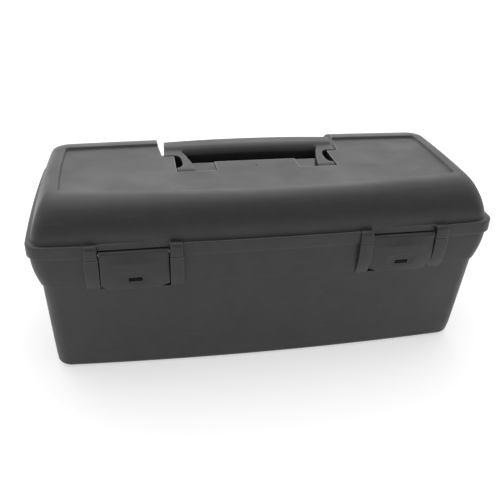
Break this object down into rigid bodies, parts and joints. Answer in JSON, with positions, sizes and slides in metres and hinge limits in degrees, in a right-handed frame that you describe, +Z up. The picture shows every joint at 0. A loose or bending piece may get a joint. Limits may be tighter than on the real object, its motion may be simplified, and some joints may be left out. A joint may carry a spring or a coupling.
{
  "type": "toolbox with tray",
  "caption": "Moulded plastic toolbox with a domed hinged lid, folding carrying handle, front latches with padlock slots and a lift-out tray.",
  "frame": {"origin": "on the ground, in the middle of the whole object's box", "axes": "+X along the length towards the right-hand end, +Y towards the hinges at the rear, +Z up; the latches face -Y"},
  "size_m": [0.406, 0.1984, 0.1707],
  "materials": {
    "case_plastic": "satin, finely grained moulded polypropylene, dark grey",
    "tray_plastic": "satin moulded polypropylene, near black",
    "pin_steel": "drawn steel wire, cut to length"
  },
  "bodies": {
    "bin": {"bin": "case_plastic", "hinge_pin_left": "pin_steel", "hinge_pin_right": "pin_steel"},
    "lid": {"lid_shell": "case_plastic", "handle_pin_left": "pin_steel", "handle_pin_right": "pin_steel", "latch_pin_left": "pin_steel", "latch_pin_right": "pin_steel"},
    "handle": {"carry_handle": "case_plastic"},
    "latch_left": {"latch_left": "case_plastic"},
    "latch_right": {"latch_right": "case_plastic"},
    "tray": {"tray": "tray_plastic"}
  },
  "joints": [
    {"name": "lid_hinge", "type": "hinge", "parent": "bin", "child": "lid", "pos_m": [0, 0.09537, 0.1226], "axis": [-1, 0, 0], "range_deg": [0, 105]},
    {"name": "handle_pivot", "type": "hinge", "parent": "lid", "child": "handle", "pos_m": [0, -0.01258, 0.1596], "axis": [1, 0, 0], "range_deg": [0, 90]},
    {"name": "latch_left_pivot", "type": "hinge", "parent": "lid", "child": "latch_left", "pos_m": [-0.1154, -0.09211, 0.1271], "axis": [-1, 0, 0], "range_deg": [0, 90]},
    {"name": "latch_right_pivot", "type": "hinge", "parent": "lid", "child": "latch_right", "pos_m": [0.1154, -0.09211, 0.1271], "axis": [-1, 0, 0], "range_deg": [0, 90]},
    {"name": "tray_lift", "type": "slide", "parent": "bin", "child": "tray", "axis": [0, 0, 1], "range_m": [0, 0.012]}
  ]
}
